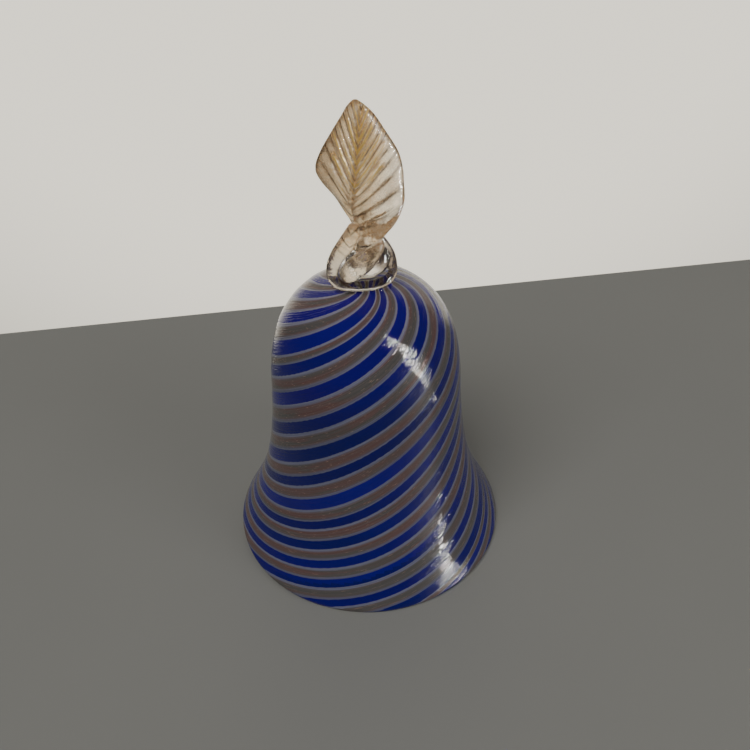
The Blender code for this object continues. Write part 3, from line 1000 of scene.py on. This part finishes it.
POINT = 0.1 * MM  # where a turned pin closes
HEAD_HALF = 0.35 * MM  # half the thickness of the pin's head
SHEET = 0.5 * MM  # thickness of the cap
PIN_HOLE = 0.85 * MM  # radius of the hole in the cap
BORE = 0.95 * MM  # radius of the bore in the ball


class GLASSBELL_OT_clapper(bpy.types.Operator):
    """Threads the ball and its cap on the eye pin"""

    bl_idname = "glassbell.clapper"
    bl_label = "Clapper"

    def execute(self, context):
        chain = context.scene.glassbell_chain
        brass = bpy.data.materials["chain_brass"]  # the CAD node's own
        self.add_pin(chain, brass)
        self.add_cap(brass)
        self.add_ball(chain)
        return {"FINISHED"}

    def add_pin(self, chain, brass):
        """A wire with an eye at the top and a flat head that holds the ball."""
        low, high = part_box("clapper_pin")
        wire = chain.ring_wire
        eye = high.y - wire
        middle = high.z - eye - wire
        ring = wire_ring("pin_eye", middle, eye, wire, 0.0, True, chain)
        head = high.x
        outline = [(POINT, middle - eye), (wire, middle - eye - POINT), (wire, low.z + 1.0 * MM)]
        for i in range(9):
            angle = math.pi / 2 - math.pi * i / 8
            reach = head * (0.8 + 0.2 * math.cos(angle))
            outline.append((reach, low.z + HEAD_HALF * (1.0 + math.sin(angle))))
        outline.append((POINT, low.z))
        piece = join_pieces("eye_pin", lathe("pin_shank", outline, 20), ring)
        finish_piece(piece, brass, "clapper", "chain_brass", "clapper_pin")

    def add_cap(self, brass):
        """A thin dished cap with a hole for the pin and a rim that turns out a little."""
        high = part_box("clapper_cap")[1]
        middle = sum(corner.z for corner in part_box("clapper_ball")) / 2
        outside = high.z - middle
        inside = outside - SHEET
        hole = math.asin(PIN_HOLE / inside)
        reach = math.asin(high.x / outside)
        outline = []
        for i in range(15):
            angle = hole + (reach - hole) * i / 14
            outline.append((inside * math.sin(angle), middle + inside * math.cos(angle)))
        lifted = outside + SHEET / 2
        outline.append((lifted * math.sin(reach) * 0.995, middle + lifted * math.cos(reach) * 0.985))
        for i in range(15):
            angle = reach - (reach - hole) * i / 14
            outline.append((outside * math.sin(angle), middle + outside * math.cos(angle)))
        piece = open_lathe("pierced_cap", outline, 64)
        finish_piece(piece, brass, "clapper", "chain_brass", "clapper_cap")

    def add_ball(self, chain):
        """A glass ball, bored through for the pin."""
        low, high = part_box("clapper_ball")
        radius = high.x
        middle = (low.z + high.z) / 2
        first = math.asin(BORE / radius)
        outline = []
        for i in range(41):
            angle = first + (math.pi - 2 * first) * i / 40
            outline.append((radius * math.sin(angle), middle + radius * math.cos(angle)))
        piece = open_lathe("bored_ball", outline, 64)
        finish_piece(piece, clapper_finish(chain), "clapper", "clapper_glass", "clapper_ball")


def open_lathe(name, outline, sides):
    """Turns a closed outline round the Z axis, so that the piece has a hole through its middle."""
    piece = begin_ring(name, sides, *outline[0])
    for before, after in zip(outline, outline[1:]):
        extend_ring(before, after)
    bpy.ops.mesh.select_all(action="SELECT")
    bpy.ops.mesh.region_to_loop()
    bpy.ops.mesh.bridge_edge_loops()
    bpy.ops.object.mode_set(mode="OBJECT")
    return tidy_normals(piece)


# ---- Stage ----


TABLE_SIZE = (3.2, 1.8, 0.03)  # width, depth and thickness, in metres
PANE_SIZE = (0.05, 0.31)
WAIST = (0.0, 0.0, 0.06)  # what the lights face


def aimed_light(name, place, size, watts, colour):
    """A rectangular soft light that faces the bell."""
    bpy.ops.object.light_add(type="AREA", location=place)
    lamp = bpy.context.object
    lamp.name = name
    lamp.rotation_euler = (Vector(WAIST) - Vector(place)).to_track_quat("-Z", "Y").to_euler()
    lamp.data.shape = "RECTANGLE"
    lamp.data.size, lamp.data.size_y = size
    lamp.data.energy = watts
    lamp.data.color = colour
    return lamp


class GLASSBELL_OT_stage(bpy.types.Operator):
    """Sets the table, the window, the soft lights, the room and the camera"""

    bl_idname = "glassbell.stage"
    bl_label = "Stage"

    def execute(self, context):
        settings = context.scene.glassbell_stage
        self.add_table(settings)
        self.add_lights(settings)
        self.add_room(context, settings)
        self.add_camera(context, settings)
        return {"FINISHED"}

    def add_table(self, settings):
        deselect()
        width, depth, thickness = TABLE_SIZE
        middle = (0.0, settings.table_depth - depth / 2, -thickness / 2)
        bpy.ops.mesh.primitive_cube_add(size=1.0, location=middle)
        table = bpy.context.object
        table.name = "tabletop"
        table.scale = (width, depth, thickness)
        bpy.ops.object.transform_apply(location=True, rotation=True, scale=True)
        bpy.ops.object.mode_set(mode="EDIT")
        bpy.ops.mesh.bevel(offset=1.2 * MM, segments=3, affect="EDGES")
        bpy.ops.object.mode_set(mode="OBJECT")
        table.rotation_euler.z = settings.table_turn
        bpy.ops.object.transform_apply(location=True, rotation=True, scale=True)
        table.data.materials.append(table_finish(settings))

    def add_lights(self, settings):
        """The window is seen only in reflections, and the two soft lights only shine on the pieces."""
        round_bell = Matrix.Rotation(settings.window_turn, 3, "Z")
        daylight = settings.daylight[:3]
        for row in (0, 1):
            place = round_bell @ Vector((1.0, 0.0, 0.16 + row * 0.36))
            pane = aimed_light("window_pane", place, PANE_SIZE, settings.window_power, daylight)
            pane.visible_diffuse = False
        place = round_bell @ Vector((1.0, 0.0, 0.5))
        side = aimed_light("side", place, (0.6, 0.6), settings.side_power, daylight)
        fill = aimed_light("fill", (-0.5, -0.7, 1.3), (1.0, 1.0), settings.fill_power, daylight)
        side.visible_glossy = False
        fill.visible_glossy = False

    def add_room(self, context, settings):
        """A pale wall behind the table, and a dimmer room in front of it."""
        room = Finish("room", room=True)
        direction = room.add("ShaderNodeTexCoord", output="Generated")
        _, back, up = room.parts(direction)
        share = back.smooth(0.5, 0.88) * (1.0 - up.smooth(-0.15, 0.3) * 0.6)
        colour = room.blend(share, rgb(0.08, 0.077, 0.073), settings.wall)
        context.scene.world = room.surface(room.add("ShaderNodeBackground", {"Color": colour}))

    def add_camera(self, context, settings):
        bpy.ops.object.camera_add(location=(0.0, -settings.eye_distance, settings.eye_height))
        camera = bpy.context.object
        camera.name = "eye"
        pan = Matrix.Rotation(-settings.pan, 4, "Z")
        pitch = Matrix.Rotation(math.pi / 2 - settings.pitch, 4, "X")
        camera.rotation_euler = (pan @ pitch @ Matrix.Rotation(settings.roll, 4, "Z")).to_euler()
        camera.data.lens = settings.lens
        camera.data.sensor_width = 36.0
        camera.data.clip_start = 0.01
        context.scene.camera = camera


# ---- Panel and start ----


class GLASSBELL_PT_panel(bpy.types.Panel):
    """Lists the bell's pieces and their sizes"""

    bl_idname = "GLASSBELL_PT_panel"
    bl_label = "Glass Bell"
    bl_space_type = "VIEW_3D"
    bl_region_type = "UI"
    bl_category = "Glass Bell"

    def draw(self, context):
        for label, settings, operators in PIECES:
            box = self.layout.box()
            box.label(text=label)
            group = getattr(context.scene, settings)
            for name in group.__annotations__:
                box.prop(group, name)
            for operator in operators:
                box.operator(operator)


PIECES = (
    ("Cup", "glassbell_cup", ("glassbell.cup", "glassbell.pad")),
    ("Handle", "glassbell_leaf", ("glassbell.leaf",)),
    ("Clapper", "glassbell_chain", ("glassbell.loop", "glassbell.chain", "glassbell.clapper")),
    ("Stage", "glassbell_stage", ("glassbell.stage",)),
)

GROUPS = {
    "glassbell_cup": CupSettings,
    "glassbell_leaf": LeafSettings,
    "glassbell_chain": ChainSettings,
    "glassbell_stage": StageSettings,
}

OPERATORS = (
    GLASSBELL_OT_cup,
    GLASSBELL_OT_pad,
    GLASSBELL_OT_leaf,
    GLASSBELL_OT_loop,
    GLASSBELL_OT_chain,
    GLASSBELL_OT_clapper,
    GLASSBELL_OT_stage,
    GLASSBELL_PT_panel,
)


def register():
    for name, group in GROUPS.items():
        bpy.utils.register_class(group)
        setattr(bpy.types.Scene, name, bpy.props.PointerProperty(type=group))
    for cls in OPERATORS:
        bpy.utils.register_class(cls)


def unregister():
    for cls in reversed(OPERATORS):
        bpy.utils.unregister_class(cls)
    for name, group in GROUPS.items():
        delattr(bpy.types.Scene, name)
        bpy.utils.unregister_class(group)


def main():
    register()
    bpy.ops.glassbell.cup()
    bpy.ops.glassbell.pad()
    bpy.ops.glassbell.leaf()
    bpy.ops.glassbell.loop()
    bpy.ops.glassbell.chain()
    bpy.ops.glassbell.clapper()
    bpy.ops.glassbell.stage()


if __name__ == "__main__":
    main()
